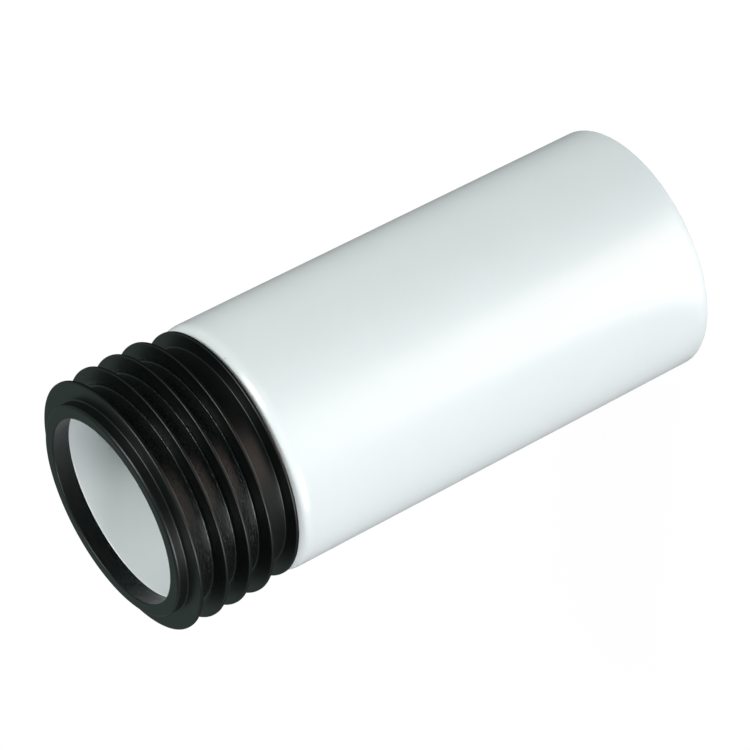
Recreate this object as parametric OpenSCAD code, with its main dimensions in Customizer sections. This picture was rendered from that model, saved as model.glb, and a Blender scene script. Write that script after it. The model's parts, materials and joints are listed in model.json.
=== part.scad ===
// Pan connector extension: a plain-ended soil pipe with a finned rubber seal on its neck.
// It stands on its plain end, with Z up the pipe's axis and the seal's nose at the top.
// Both mouldings are turned about Z, so each is one closed section, drawn with its radius
// along X and its height along Y. All sizes are in millimetres.

/* [Pipe] */
// Outside diameter of the pipe
pipe_od = 110; // [80:0.5:200]
// Wall of the pipe, its shoulder and its neck
pipe_wall = 3.2; // [2:0.1:5]
// Height of the step that the seal's flange sits on
pipe_length = 209.7; // [40:0.1:600]
// Outside radius of the rounded shoulder
shoulder_round = 6.5; // [5.2:0.1:8.5]
// Rounding on both edges of the plain end
end_round = 0.6; // [0.2:0.1:0.9]

/* [Neck] */
// Step in from the pipe's outside to the neck's outside
neck_step = 9.2; // [8.2:0.1:20]
// Length of the neck above the shoulder
neck_length = 46.2; // [44:0.1:120]
// Rounding inside, where the pipe's bore runs into the neck's bore
throat_round = 3; // [0.5:0.1:5]
// Rounding on the outer edge of the neck's end
neck_round = 0.5; // [0.2:0.1:1]

/* [Seal] */
// Rubber wall of the sleeve round the neck
sleeve_wall = 2.3; // [1.5:0.1:6]
// Length of the nose past the neck's end
nose_length = 8.6; // [7:0.1:30]
// Step in from the sleeve's outside to the nose's outside
nose_step = 0.8; // [0:0.1:1.5]
// How far the nose turns in past the neck's bore
lip_depth = 1.2; // [0.2:0.1:6]
// Rounding on the outer edge of the nose
nose_round = 1.2; // [0.3:0.1:2]
// Rounding on the inner edge of the nose
lip_round = 0.5; // [0.2:0.1:1]
// Height of the base flange above the sleeve
flange_height = 6.4; // [3:0.1:12]
// Thickness of the base flange at its rim
flange_rim = 1.5; // [1.2:0.1:4]
// Extra thickness of the base flange at its root
flange_taper = 0.8; // [0:0.1:3]

/* [Fins] */
// Number of equal fins behind the first fin
fin_count = 3; // [1:1:3]
// Spacing of the equal fins along the seal
fin_pitch = 11.3; // [6:0.1:14]
// Height of a fin above the sleeve
fin_height = 7.9; // [3:0.1:14]
// Thickness of a fin at its tip
fin_tip = 1.4; // [0.8:0.1:2]
// Thickness of a fin where it meets the sleeve
fin_root = 2.6; // [2:0.1:4]
// How far a fin's tip leans back from its root
fin_lean = 0.2; // [0:0.1:3]
// Fillet where a fin or the flange meets the sleeve
root_fillet = 0.6; // [0.2:0.1:1.5]

/* [First fin] */
// Distance from the nose's end to the middle of the first fin's tip
first_fin_place = 5.9; // [5:0.1:12]
// Distance from the first fin to the next one
first_fin_gap = 12.1; // [6:0.1:16]
// How much lower the first fin stands than the others
first_fin_drop = 0.5; // [0:0.1:2]
// Thickness of the first fin at its tip
first_fin_tip = 1.8; // [1:0.1:2]
// How far the first fin's tip leans forward from its root
first_fin_lean = 0.4; // [0:0.1:1]

/* [Hidden] */
// Rounding of a thin rubber edge, as a share of its thickness
EDGE_SHARE = 0.4;
// Flat steps in each rounding of a section
ROUND_STEPS = 6;

pipe_r = pipe_od / 2;
bore_r = pipe_r - pipe_wall;
neck_r = pipe_r - neck_step;
neck_bore_r = neck_r - pipe_wall;
sleeve_r = neck_r + sleeve_wall;
nose_r = sleeve_r - nose_step;
opening_r = neck_bore_r - lip_depth;
flange_r = sleeve_r + flange_height;
fin_r = sleeve_r + fin_height;

seat_z = pipe_length;
throat_z = seat_z - pipe_wall;
neck_top_z = seat_z + neck_length;
nose_top_z = neck_top_z + nose_length;
first_fin_z = nose_top_z - first_fin_place;

function unit(v) = v / norm(v);

// A corner [radius, height, rounding] as the points of its arc, or as itself where it is sharp
function corner_arc(before, at, after) =
    let (
        here = [at[0], at[1]],
        back = unit([before[0], before[1]] - here),
        ahead = unit([after[0], after[1]] - here),
        half = acos(back * ahead) / 2,
        centre = here + unit(back + ahead) * at[2] / sin(half),
        first = here + back * at[2] / tan(half) - centre,
        last = here + ahead * at[2] / tan(half) - centre,
        sweep = 180 - 2 * half
    )
    at[2] == 0 ? [here] : [
        for (step = [0 : ROUND_STEPS])
            let (share = step / ROUND_STEPS)
            centre + (first * sin((1 - share) * sweep) + last * sin(share * sweep)) / sin(sweep)
    ];

// The whole outline of a section, with each corner rounded
function rounded(corners) =
    let (count = len(corners))
    [
        for (i = [0 : count - 1])
            each corner_arc(
                corners[(i + count - 1) % count], corners[i], corners[(i + 1) % count]
            )
    ];

// One fin, from its lower root to its upper root: tip_z and root_z are the middles of its
// tip and its root, and upper_r is the outside of the rubber above it
function fin(tip_z, root_z, tip_r, tip, upper_r) =
    let (edge = tip * EDGE_SHARE)
    [
        [sleeve_r, root_z - fin_root / 2, root_fillet],
        [tip_r, tip_z - tip / 2, edge],
        [tip_r, tip_z + tip / 2, edge],
        [upper_r, root_z + fin_root / 2, root_fillet]
    ];

// The equal fins, from the lowest up
function equal_fins() = [
    for (i = [fin_count - 1 : -1 : 0])
        let (z = first_fin_z - first_fin_gap - i * fin_pitch)
        each fin(z, z + fin_lean, fin_r, fin_tip, sleeve_r)
];

// The first fin, between the sleeve and the nose
function first_fin() =
    fin(first_fin_z, first_fin_z - first_fin_lean, fin_r - first_fin_drop, first_fin_tip, nose_r);

// The plain-ended pipe, its rounded shoulder and the neck under the seal
module pipe_body() {
    color("white")
    rotate_extrude($fn = 180)
    polygon(rounded([
        [bore_r, 0, end_round],
        [pipe_r, 0, end_round],
        [pipe_r, seat_z, shoulder_round],
        [neck_r, seat_z, 0],
        [neck_r, neck_top_z, neck_round],
        [neck_bore_r, neck_top_z, 0],
        [neck_bore_r, throat_z, throat_round],
        [bore_r, throat_z, shoulder_round - pipe_wall]
    ]));
}

// The sleeve with its base flange, four fins and the nose that turns in over the neck's end
module finned_seal() {
    color("dimgray")
    rotate_extrude($fn = 180)
    polygon(rounded([
        [neck_r, seat_z, 0],
        [flange_r, seat_z, flange_rim * EDGE_SHARE],
        [flange_r, seat_z + flange_rim, flange_rim * EDGE_SHARE],
        [sleeve_r, seat_z + flange_rim + flange_taper, root_fillet],
        each equal_fins(),
        each first_fin(),
        [nose_r, nose_top_z, nose_round],
        [opening_r, nose_top_z, lip_round],
        [neck_bore_r, neck_top_z, 0],
        [neck_r, neck_top_z, neck_round]
    ]));
}

pipe_body();
finned_seal();
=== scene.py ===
# %% [markdown]
# # A pan connector extension, dressed in Blender
#
# The real object is two mouldings. One is a short white soil pipe that steps down through a
# rounded shoulder to a narrower neck. The other is a black rubber seal that is pushed onto the
# neck, with four thin fins that bend back inside whatever the connector is pushed into.
#
# Both are round about one axis, so this lesson makes them the way a lathe would: it draws half
# of the section once and carries it round the axis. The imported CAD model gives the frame, and
# every size comes from it or from a named value in millimetres.

# %% Load the frame
import json

import bpy
import numpy as np
from mathutils import Matrix, Vector


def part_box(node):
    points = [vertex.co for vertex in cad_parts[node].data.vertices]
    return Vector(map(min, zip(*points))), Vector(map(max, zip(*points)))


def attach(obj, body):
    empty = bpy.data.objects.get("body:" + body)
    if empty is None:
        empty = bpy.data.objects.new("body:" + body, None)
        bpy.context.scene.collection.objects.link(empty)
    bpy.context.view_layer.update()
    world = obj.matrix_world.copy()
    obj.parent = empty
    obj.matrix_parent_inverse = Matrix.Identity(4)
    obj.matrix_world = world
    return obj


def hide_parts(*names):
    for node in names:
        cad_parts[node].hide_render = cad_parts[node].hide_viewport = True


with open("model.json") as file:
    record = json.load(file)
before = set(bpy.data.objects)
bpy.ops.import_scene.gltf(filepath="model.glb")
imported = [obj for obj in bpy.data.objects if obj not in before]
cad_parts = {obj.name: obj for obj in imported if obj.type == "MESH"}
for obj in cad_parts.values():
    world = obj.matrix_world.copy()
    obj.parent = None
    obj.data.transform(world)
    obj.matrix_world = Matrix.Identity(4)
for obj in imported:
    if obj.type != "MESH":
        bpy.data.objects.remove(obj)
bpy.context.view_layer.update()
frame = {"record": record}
MM = 0.001

# %% [markdown]
# ## Sizes
#
# The main sizes are read from the frame. A box gives a piece's lowest and highest points, and the
# record's mounts give the outside radii and the two bores. What is left is written here, once,
# under the name a maker would use.

# %% Sizes of the pipe
mounts = {mount["name"]: mount["dims"] for mount in frame["record"]["mounts"]}
pipe_r = mounts["plain_end_outside"]["r_mm"]
bore_r = mounts["plain_end_bore"]["r_mm"]
neck_bore_r = mounts["neck_bore"]["r_mm"]
wall = pipe_r - bore_r
neck_r = neck_bore_r + wall
neck_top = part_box("pipe_body")[1][2] / MM

SHOULDER_ROUND = 6.5
END_ROUND = 0.6
THROAT_ROUND = 3.0
NECK_ROUND = 0.5
print(f"Pipe wall {wall:.1f} mm, neck {2 * neck_r:.1f} mm across, neck's end at {neck_top:.1f} mm")

# %% Sizes of the seal
seat, nose_top = (corner[2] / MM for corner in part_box("finned_seal"))
fin_r = mounts["finned_end"]["r_mm"]

FIN_HEIGHT = 7.9
FIN_TIP = 1.4
FIN_ROOT = 2.6
FIN_LEAN = 0.2
FIN_PITCH = 11.3
FIN_COUNT = 3
ROOT_FILLET = 0.6
EDGE_SHARE = 0.4

FIRST_PLACE = 5.9
FIRST_GAP = 12.1
FIRST_DROP = 0.5
FIRST_TIP = 1.8
FIRST_LEAN = 0.4

FLANGE_HEIGHT = 6.4
FLANGE_RIM = 1.5
FLANGE_TAPER = 0.8
NOSE_STEP = 0.8
NOSE_ROUND = 1.2
LIP_DEPTH = 1.2
LIP_ROUND = 0.5

sleeve_r = fin_r - FIN_HEIGHT
nose_r = sleeve_r - NOSE_STEP
opening_r = neck_bore_r - LIP_DEPTH
flange_r = sleeve_r + FLANGE_HEIGHT
print(f"The pipe is {2 * pipe_r:.1f} mm across, and the seal runs from {seat:.1f} to {nose_top:.1f} mm")

# %% [markdown]
# ## Half a section with rounded corners
#
# A moulding has no dead sharp edges, and it is the small roundings that catch the light. So a
# section is a list of corners, each with its radius from the axis, its height and its rounding,
# and one function turns each corner into an arc. A Bevel modifier could round the finished
# mesh instead, but arcs in the outline give each corner its own exact size.

# %% Round the corners of an outline
ARC_POINTS = 8


def unit(v):
    return v / np.linalg.norm(v, axis=-1, keepdims=True)


def arc(before, at, after):
    """The points of one rounded corner.

    The two straight sides leave the corner along unit vectors a and b, with the angle 2h between
    them. The arc's centre lies on their bisector, at rounding / sin(h) from the corner. Its
    first and last radii are turned into each other by spherical interpolation.
    """
    here, rounding = np.array(at[:2]), at[2]
    if rounding == 0:
        return here[None]
    a, b = unit(np.array(before[:2]) - here), unit(np.array(after[:2]) - here)
    half = np.arccos(a @ b) / 2
    centre = here + unit(a + b) * rounding / np.sin(half)
    first = here + a * rounding / np.tan(half) - centre
    last = here + b * rounding / np.tan(half) - centre
    sweep, share = np.pi - 2 * half, np.linspace(0, 1, ARC_POINTS)[:, None]
    return centre + (first * np.sin((1 - share) * sweep) + last * np.sin(share * sweep)) / np.sin(sweep)


# %% Put rings along the straight runs
def run(start, end, spacing):
    """Points between start and end, without the ends themselves.

    With t from 0 to 1, a point lies at (1 - cos(pi t)) / 2 of the way. So the points crowd
    towards both ends, where smooth shading has to turn the corner.
    """
    count = int(np.ceil(np.linalg.norm(end - start) / spacing)) + 2
    share = (1 - np.cos(np.pi * np.linspace(0, 1, count)[1:-1, None])) / 2
    return start + (end - start) * share


def outline(corners, spacing):
    """A closed half section: each corner's arc, then the run to the next corner's arc."""
    arcs = [arc(corners[i - 1], at, corners[(i + 1) % len(corners)]) for i, at in enumerate(corners)]
    following = arcs[1:] + arcs[:1]
    runs = [run(here[-1], there[0], spacing) for here, there in zip(arcs, following)]
    return np.concatenate([part for pair in zip(arcs, runs) for part in pair])


# %% [markdown]
# ## Turning a section
#
# The surface is a function of two parameters: how far along the outline, and which way round
# the axis. Both close on themselves, so the mesh has no seam and no pole. The whole grid of
# points is worked out at once with numpy, and a function can bend it a little before it becomes
# a mesh. A Screw modifier would do the turning too, but then there would be nothing to bend.

# %% Carry an outline round the axis
TURNS = 288


def turned(name, section, bend):
    """A closed mesh from a half section (radius, height) in millimetres, bent by a function.

    Point (i, j) is (r_i cos a_j, r_i sin a_j, z_i) with a_j = 2 pi j / TURNS. The outline runs
    anticlockwise with the radius to the right and the height up, so the faces point outwards.
    """
    angle = np.linspace(0, 2 * np.pi, TURNS, endpoint=False)
    radius, height = section[:, :1], section[:, 1:]
    points = np.stack([radius * np.cos(angle), radius * np.sin(angle), height + 0 * angle], axis=-1)
    points = bend(points)
    index = np.arange(points.shape[0] * TURNS).reshape(-1, TURNS)
    above, beside = np.roll(index, -1, axis=0), np.roll(index, -1, axis=1)
    corner = np.roll(above, -1, axis=1)
    faces = np.stack([index, beside, corner, above], axis=-1).reshape(-1, 4)
    mesh = bpy.data.meshes.new(name)
    mesh.from_pydata((points * MM).reshape(-1, 3), [], faces)
    mesh.shade_smooth()
    piece = bpy.data.objects.new(name, mesh)
    bpy.context.collection.objects.link(piece)
    print(f"{name}: {section.shape[0]} points in the section, {2 * len(faces)} triangles")
    return piece


# %% [markdown]
# ## A neck that leans a little
#
# Nothing pushed on by hand sits dead true. On the real one the sealed end leans about a degree,
# and that shows in the fins' outlines. The neck and the seal lean together, so both use this one
# bend, and it starts from nothing at the shoulder.

# %% Lean the sealed end
LEAN = np.radians(1.3)
print(f"The nose's end leans {np.degrees(LEAN):.1f} degrees")


def lean(points):
    """Bends the part above the shoulder towards -X.

    With h the height above the seat and H the seal's height, the axis leans by the angle
    a = LEAN sin(pi h / 2H). Its middle has moved by the integral of a, and a point at x has
    risen by a x.
    """
    x, y, z = np.moveaxis(points, -1, 0)
    height = nose_top - seat
    turn = np.pi / 2 * np.clip((z - seat) / height, 0, None)
    angle = LEAN * np.sin(turn)
    shift = LEAN * height * 2 / np.pi * (1 - np.cos(turn))
    return np.stack([x - shift, y, z + angle * x], axis=-1)


# %% [markdown]
# ## The white pipe
#
# A plain-ended pipe with the same wall all the way: the outside turns in over a rounded
# shoulder, and the inside follows it through a throat to the neck.

# %% Turn the pipe
PIPE_SPACING = 4.0

pipe_section = outline([
    (bore_r, 0, END_ROUND),
    (pipe_r, 0, END_ROUND),
    (pipe_r, seat, SHOULDER_ROUND),
    (neck_r, seat, 0),
    (neck_r, neck_top, NECK_ROUND),
    (neck_bore_r, neck_top, 0),
    (neck_bore_r, seat - wall, THROAT_ROUND),
    (bore_r, seat - wall, SHOULDER_ROUND - wall),
], PIPE_SPACING)
pipe = turned("soil_pipe", pipe_section, lean)

# %% [markdown]
# ## The rubber seal
#
# The sleeve, its base flange, four fins and the nose that turns in over the neck's end are one
# moulding, so they are one section. A fin is four corners: a fillet at each root and a small
# rounding on each edge of its tip.

# %% One fin
SEAL_SPACING = 0.8


def fin(tip_z, root_z, tip_r, tip, upper_r):
    """A fin's four corners, from its lower root to its upper root."""
    edge = tip * EDGE_SHARE
    return [
        (sleeve_r, root_z - FIN_ROOT / 2, ROOT_FILLET),
        (tip_r, tip_z - tip / 2, edge),
        (tip_r, tip_z + tip / 2, edge),
        (upper_r, root_z + FIN_ROOT / 2, ROOT_FILLET),
    ]


# %% Turn the seal
first_z = nose_top - FIRST_PLACE
corners = [
    (neck_r, seat, 0),
    (flange_r, seat, FLANGE_RIM * EDGE_SHARE),
    (flange_r, seat + FLANGE_RIM, FLANGE_RIM * EDGE_SHARE),
    (sleeve_r, seat + FLANGE_RIM + FLANGE_TAPER, ROOT_FILLET),
]
for i in reversed(range(FIN_COUNT)):
    fin_z = first_z - FIRST_GAP - i * FIN_PITCH
    corners += fin(fin_z, fin_z + FIN_LEAN, fin_r, FIN_TIP, sleeve_r)
corners += fin(first_z, first_z - FIRST_LEAN, fin_r - FIRST_DROP, FIRST_TIP, nose_r)
corners += [
    (nose_r, nose_top, NOSE_ROUND),
    (opening_r, nose_top, LIP_ROUND),
    (neck_bore_r, neck_top, 0),
    (neck_r, neck_top, NECK_ROUND),
]
seal = turned("rubber_seal", outline(corners, SEAL_SPACING), lean)

# %% [markdown]
# ## Materials
#
# A small helper keeps the node trees readable: it adds a node, sets its plain values and links
# whatever is given as a socket. Every pattern reads Object coordinates, which are metres in the
# part's own frame, so the finish sits still on the piece from any side.

# %% Helpers for node trees
def add(tree, kind, inputs=None, **settings):
    """A new node, with its settings and with its inputs set or linked."""
    node = tree.nodes.new(kind)
    for name, value in settings.items():
        setattr(node, name, value)
    for key, value in (inputs or {}).items():
        if isinstance(value, bpy.types.NodeSocket):
            tree.links.new(value, node.inputs[key])
        else:
            node.inputs[key].default_value = value
    return node


def math(tree, operation, *values):
    """The result of a Math node."""
    return add(tree, "ShaderNodeMath", dict(enumerate(values)), operation=operation).outputs[0]


def vector(tree, operation, *values):
    """A Vector Math node."""
    return add(tree, "ShaderNodeVectorMath", dict(enumerate(values)), operation=operation)


def spread(tree, value, low, high, to_low=0.0, to_high=1.0):
    """A value taken from one range smoothly to another."""
    inputs = {0: value, 1: low, 2: high, 3: to_low, 4: to_high}
    return add(tree, "ShaderNodeMapRange", inputs, interpolation_type="SMOOTHSTEP").outputs[0]


def blend(tree, share, first, second):
    """One colour turning into another as share goes from 0 to 1.

    A Mix node has a set of sockets for each data type: 6 and 7 are the two colours, and the
    mixed colour comes out of socket 2.
    """
    return add(tree, "ShaderNodeMix", {0: share, 6: first, 7: second}, data_type="RGBA").outputs[2]


def noise(tree, where, size, detail=2.0):
    """Noise whose lumps are about size millimetres across."""
    inputs = {"Vector": where, "Scale": 1 / (size * MM), "Detail": detail}
    return add(tree, "ShaderNodeTexNoise", inputs).outputs[0]


def cells(tree, where, size):
    """The distance to the nearest of scattered points, about size millimetres apart."""
    inputs = {"Vector": where, "Scale": 1 / (size * MM)}
    return add(tree, "ShaderNodeTexVoronoi", inputs).outputs["Distance"]


def finish(name, **values):
    """A material with its tree, its shader and the object coordinates."""
    material = bpy.data.materials.new(name)
    material.use_nodes = True
    tree = material.node_tree
    shader = tree.nodes["Principled BSDF"]
    for key, value in values.items():
        shader.inputs[key.replace("_", " ")].default_value = value
    where = add(tree, "ShaderNodeTexCoord").outputs["Object"]
    return material, tree, shader, where


# %% [markdown]
# ### Gloss white plastic
#
# The pipe is smooth moulded plastic, a very slightly cool white. Its surface isn't optically
# flat: long shallow waves from cooling soften the highlight, and a few specks sit in the skin.

# %% White plastic
WHITE = (0.815, 0.86, 0.865, 1)
CLOUD = (0.805, 0.855, 0.857, 1)
SPECK = (0.42, 0.43, 0.42, 1)
GLOSS = 0.22
CLOUD_SIZE = 40
SPECK_SPACING = 17
SPECK_CORE, SPECK_EDGE = 0.012, 0.022
WAVE_SIZE = 25
WAVE_DEPTH = 0.1

white, tree, shader, where = finish("white_plastic", Roughness=GLOSS)
cloud = spread(tree, noise(tree, where, CLOUD_SIZE), 0.35, 0.65)
tone = blend(tree, cloud, WHITE, CLOUD)
speck = spread(tree, cells(tree, where, SPECK_SPACING), SPECK_CORE, SPECK_EDGE, 1, 0)
tree.links.new(blend(tree, speck, tone, SPECK), shader.inputs["Base Color"])
wave = noise(tree, where, WAVE_SIZE, 1.0)
bump = add(tree, "ShaderNodeBump", {"Strength": 0.2, "Distance": WAVE_DEPTH * MM, "Height": wave})
tree.links.new(bump.outputs[0], shader.inputs["Normal"])
pipe.data.materials.append(white)
print(white.name, "has", len(tree.nodes), "nodes")

# %% [markdown]
# ### Black rubber
#
# Moulded rubber is almost black, with a faint green-grey bloom. Its fins and flat faces are
# satin. The sleeve between the fins is glossier, and keeps the pitted skin of the mould, which
# breaks a highlight into speckles. The pattern isn't painted on by hand: a mask worked out from
# the distance to the axis and from the height finds the sleeve.

# %% Black rubber
RUBBER = (0.0008, 0.0018, 0.0017, 1)
BLOOM = (0.0022, 0.0032, 0.0029, 1)
PATCH_SIZE = 6
PIT_SPACING = 0.8
GRAIN_SIZE = 1.2
GRAIN_SHARE = 0.4
SKIN_DEPTH = 0.09
FIN_ROUGHNESS = 0.38
SLEEVE_ROUGHNESS = 0.27

rubber, tree, shader, where = finish("black_rubber")
patch = spread(tree, noise(tree, where, PATCH_SIZE), 0.4, 0.7)
tree.links.new(blend(tree, patch, RUBBER, BLOOM), shader.inputs["Base Color"])

split = add(tree, "ShaderNodeSeparateXYZ", {0: where})
flat = add(tree, "ShaderNodeCombineXYZ", {0: split.outputs[0], 1: split.outputs[1]}).outputs[0]
radius = vector(tree, "LENGTH", flat).outputs["Value"]
on_sleeve = spread(tree, radius, (sleeve_r + 0.8) * MM, (sleeve_r + 2.5) * MM, 1.0, 0.0)
last_fin_z = first_z - FIRST_GAP - (FIN_COUNT - 1) * FIN_PITCH
between_fins = spread(tree, split.outputs[2], last_fin_z * MM, (last_fin_z + 2) * MM)
below_nose = spread(tree, split.outputs[2], (first_z - 2) * MM, first_z * MM, 1.0, 0.0)
pitted = math(tree, "MULTIPLY", math(tree, "MULTIPLY", between_fins, below_nose), on_sleeve)
tree.links.new(spread(tree, pitted, 0.0, 1.0, FIN_ROUGHNESS, SLEEVE_ROUGHNESS), shader.inputs["Roughness"])

pits = math(tree, "MULTIPLY", spread(tree, cells(tree, where, PIT_SPACING), 0.1, 0.45), pitted)
grain = math(tree, "MULTIPLY", noise(tree, where, GRAIN_SIZE), GRAIN_SHARE)
skin = math(tree, "ADD", pits, grain)
bump = add(tree, "ShaderNodeBump", {"Strength": 1.0, "Distance": SKIN_DEPTH * MM, "Height": skin})
tree.links.new(bump.outputs[0], shader.inputs["Normal"])
seal.data.materials.append(rubber)
print(rubber.name, "has", len(tree.nodes), "nodes")

# %% [markdown]
# ## Floor, light and camera
#
# The floor is a pale plain floor. Seen straight by the camera, or in a reflection, it is white,
# and under the object it keeps a faint shadow.

# %% Floor and world
FLOOR_SIDE = 12.0
PALE = (0.75, 0.76, 0.77, 1)
SHADOW_SHARE = 0.1
FLOOR_WHITE = 1.06

bpy.ops.mesh.primitive_plane_add(size=FLOOR_SIDE)
floor = bpy.context.object
floor.name = "floor"


def seen_as_white(tree):
    """1 for a ray from the camera, a reflection or a transmission, and 0 for light that falls on things."""
    path = add(tree, "ShaderNodeLightPath").outputs
    either = math(tree, "MAXIMUM", path["Is Camera Ray"], path["Is Glossy Ray"])
    return math(tree, "MAXIMUM", either, path["Is Transmission Ray"])


floor_paint = bpy.data.materials.new("floor_paint")
floor_paint.use_nodes = True
tree = floor_paint.node_tree
tree.nodes.clear()
matt = add(tree, "ShaderNodeBsdfDiffuse", {"Color": PALE}).outputs[0]
glow = add(tree, "ShaderNodeEmission", {"Color": (1, 1, 1, 1), "Strength": FLOOR_WHITE}).outputs[0]
share = math(tree, "MULTIPLY", seen_as_white(tree), 1 - SHADOW_SHARE)
mixed = add(tree, "ShaderNodeMixShader", {0: share, 1: matt, 2: glow}).outputs[0]
add(tree, "ShaderNodeOutputMaterial", {0: mixed})
floor.data.materials.append(floor_paint)

world = bpy.data.worlds.new("studio")
bpy.context.scene.world = world
world.use_nodes = True
tree = world.node_tree
AMBIENT = 0.14
tone = blend(tree, seen_as_white(tree), (AMBIENT, AMBIENT, AMBIENT, 1), (1, 1, 1, 1))
tree.links.new(tone, tree.nodes["Background"].inputs["Color"])
print(f"The floor is {FLOOR_SIDE:.0f} m square, and the world gives {AMBIENT:.2f} of plain white light")

# %% [markdown]
# ### Soft lights
#
# A round white thing needs light from two sides, or its form goes flat: one large soft box low
# on one side and one higher on the other. A weak third one from behind lifts the far side, and
# is kept out of reflections, because it would turn every upper face of the black fins grey.

# %% Soft lights
MIDDLE = Vector((0, 0, 0.15))
BOX_DISTANCE = 2.0
BOX_SIDE = 0.9


def soft_light(name, turn, lift, power, colour):
    """A soft box, turn degrees round from the +X side towards the front, and lift degrees up."""
    turn, lift = np.radians(turn), np.radians(lift)
    away = Vector((np.cos(turn) * np.cos(lift), -np.sin(turn) * np.cos(lift), np.sin(lift)))
    lamp = bpy.data.lights.new(name, "AREA")
    lamp.size, lamp.energy, lamp.color = BOX_SIDE, power, colour
    box = bpy.data.objects.new(name, lamp)
    box.location = MIDDLE + away * BOX_DISTANCE
    box.rotation_euler = away.to_track_quat("Z", "Y").to_euler()
    bpy.context.collection.objects.link(box)
    return box


soft_light("low_box", 150, 10, 27.5, (0.98, 0.985, 1.0))
soft_light("high_box", 50, 45, 28.5, (0.975, 1.0, 0.985))
soft_light("back_box", 285, 25, 10, (1.0, 1.0, 1.0)).visible_glossy = False

# %% [markdown]
# ### What the gloss reflects
#
# A black or glossy thing shows the room more than it shows its own colour. So a photographer
# hangs a dark tent round it and leaves one soft white strip where a highlight is wanted. Here the
# tent is a dome and a cloth on the floor, and only reflections see them: they cast no light on
# the object, and the camera looks straight through.

# %% Dark tent with one bright strip
TENT_R = 3.0
CLOTH_LIFT = 0.3
STRIP_TOWARDS = unit(np.array([-0.34, -0.94, 0.0]))
STRIP_REACH = 0.9
STRIP_EDGE = 0.84
STRIP_CORE = 0.99
STRIP_GLOW = 4.0
STRIP_COLOUR = (1.0, 0.84, 0.74, 1)
CLOTH_GLOW = 0.03
SIDE_GLOW = 0.1
SIDE_TOWARDS = (-1, 0, 0)
DOME_GLOW = 0.27
DOME_COLOUR = (0.75, 1.0, 0.93, 1)


def only_in_reflections(obj):
    """Part of the stage that a reflection sees, and nothing else does."""
    obj.visible_camera = obj.visible_diffuse = obj.visible_shadow = False
    obj.visible_transmission = obj.visible_volume_scatter = False


def glowing(name):
    """A material of emission alone, with its tree, its emission node and the object coordinates."""
    material = bpy.data.materials.new(name)
    material.use_nodes = True
    tree = material.node_tree
    tree.nodes.clear()
    where = add(tree, "ShaderNodeTexCoord").outputs["Object"]
    glow = add(tree, "ShaderNodeEmission")
    add(tree, "ShaderNodeOutputMaterial", {0: glow.outputs[0]})
    return material, tree, glow, where


lifted = (0, 0, CLOTH_LIFT * MM)
bpy.ops.mesh.primitive_circle_add(vertices=64, radius=TENT_R, fill_type="NGON", location=lifted)
cloth = bpy.context.object
cloth.name = "floor_cloth"
bpy.ops.mesh.primitive_uv_sphere_add(radius=TENT_R)
dome = bpy.context.object
dome.name = "tent_dome"
for part in (cloth, dome):
    only_in_reflections(part)

cloth_paint, tree, glow, where = glowing("cloth_paint")
heading = vector(tree, "NORMALIZE", where).outputs[0]
facing = vector(tree, "DOT_PRODUCT", heading, tuple(STRIP_TOWARDS)).outputs["Value"]
strip = spread(tree, facing, STRIP_EDGE, STRIP_CORE)
distance = vector(tree, "LENGTH", where).outputs["Value"]
strip = math(tree, "MULTIPLY", strip, spread(tree, distance, 0.0, STRIP_REACH, STRIP_GLOW, 0.0))
outside_pipe = spread(tree, distance, pipe_r * MM, 1.1 * pipe_r * MM)
strip = math(tree, "MULTIPLY", strip, outside_pipe)
side = vector(tree, "DOT_PRODUCT", heading, SIDE_TOWARDS).outputs["Value"]
cloth_glow = spread(tree, side, -0.3, 0.9, CLOTH_GLOW, SIDE_GLOW)
tree.links.new(math(tree, "ADD", strip, cloth_glow), glow.inputs["Strength"])
tree.links.new(blend(tree, spread(tree, strip, 0.0, 0.5), (1, 1, 1, 1), STRIP_COLOUR), glow.inputs["Color"])
cloth.data.materials.append(cloth_paint)

dome_paint, tree, glow, where = glowing("dome_paint")
glow.inputs["Strength"].default_value = DOME_GLOW
glow.inputs["Color"].default_value = DOME_COLOUR
dome.data.materials.append(dome_paint)
print(f"The tent is {2 * TENT_R:.0f} m across, and its strip glows at {STRIP_GLOW}")

# %% [markdown]
# ### Camera
#
# The photograph looks down at the sealed end and along the pipe, with the camera rolled so that
# the pipe lies across the frame. The place, the direction and the focal length come from a
# camera fitted to the pipe's outlines and its round ends. The focal length was found in pixels,
# so the sensor's width turns it into a lens.

# %% Camera
PHOTO_SIDE = 750
FOCAL_PX = 3840.6
SENSOR = 36.0
CAMERA_AT = Vector((0, -1.44503, 0.80219))
CAMERA_LOOK = Vector((0.000234, 0.907411, -0.420244))
CAMERA_UP = Vector((0.891906, -0.190232, -0.410262))

lens = bpy.data.cameras.new("camera")
lens.sensor_width = SENSOR
lens.lens = FOCAL_PX * SENSOR / PHOTO_SIDE
camera = bpy.data.objects.new("camera", lens)
bpy.context.collection.objects.link(camera)
across = CAMERA_LOOK.cross(CAMERA_UP).normalized()
up = across.cross(CAMERA_LOOK).normalized()
turn = Matrix((across, up, -CAMERA_LOOK.normalized())).transposed().to_4x4()
camera.matrix_world = Matrix.Translation(CAMERA_AT) @ turn
bpy.context.scene.camera = camera
bpy.context.scene.view_settings.view_transform = "Standard"
print(f"The lens is {lens.lens:.0f} mm, {CAMERA_AT.length:.2f} m from the origin")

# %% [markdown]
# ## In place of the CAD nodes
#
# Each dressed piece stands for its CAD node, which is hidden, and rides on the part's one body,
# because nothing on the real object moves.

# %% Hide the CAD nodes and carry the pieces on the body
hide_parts("pipe_body")
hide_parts("finned_seal")
for piece in (pipe, seal):
    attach(piece, "root")
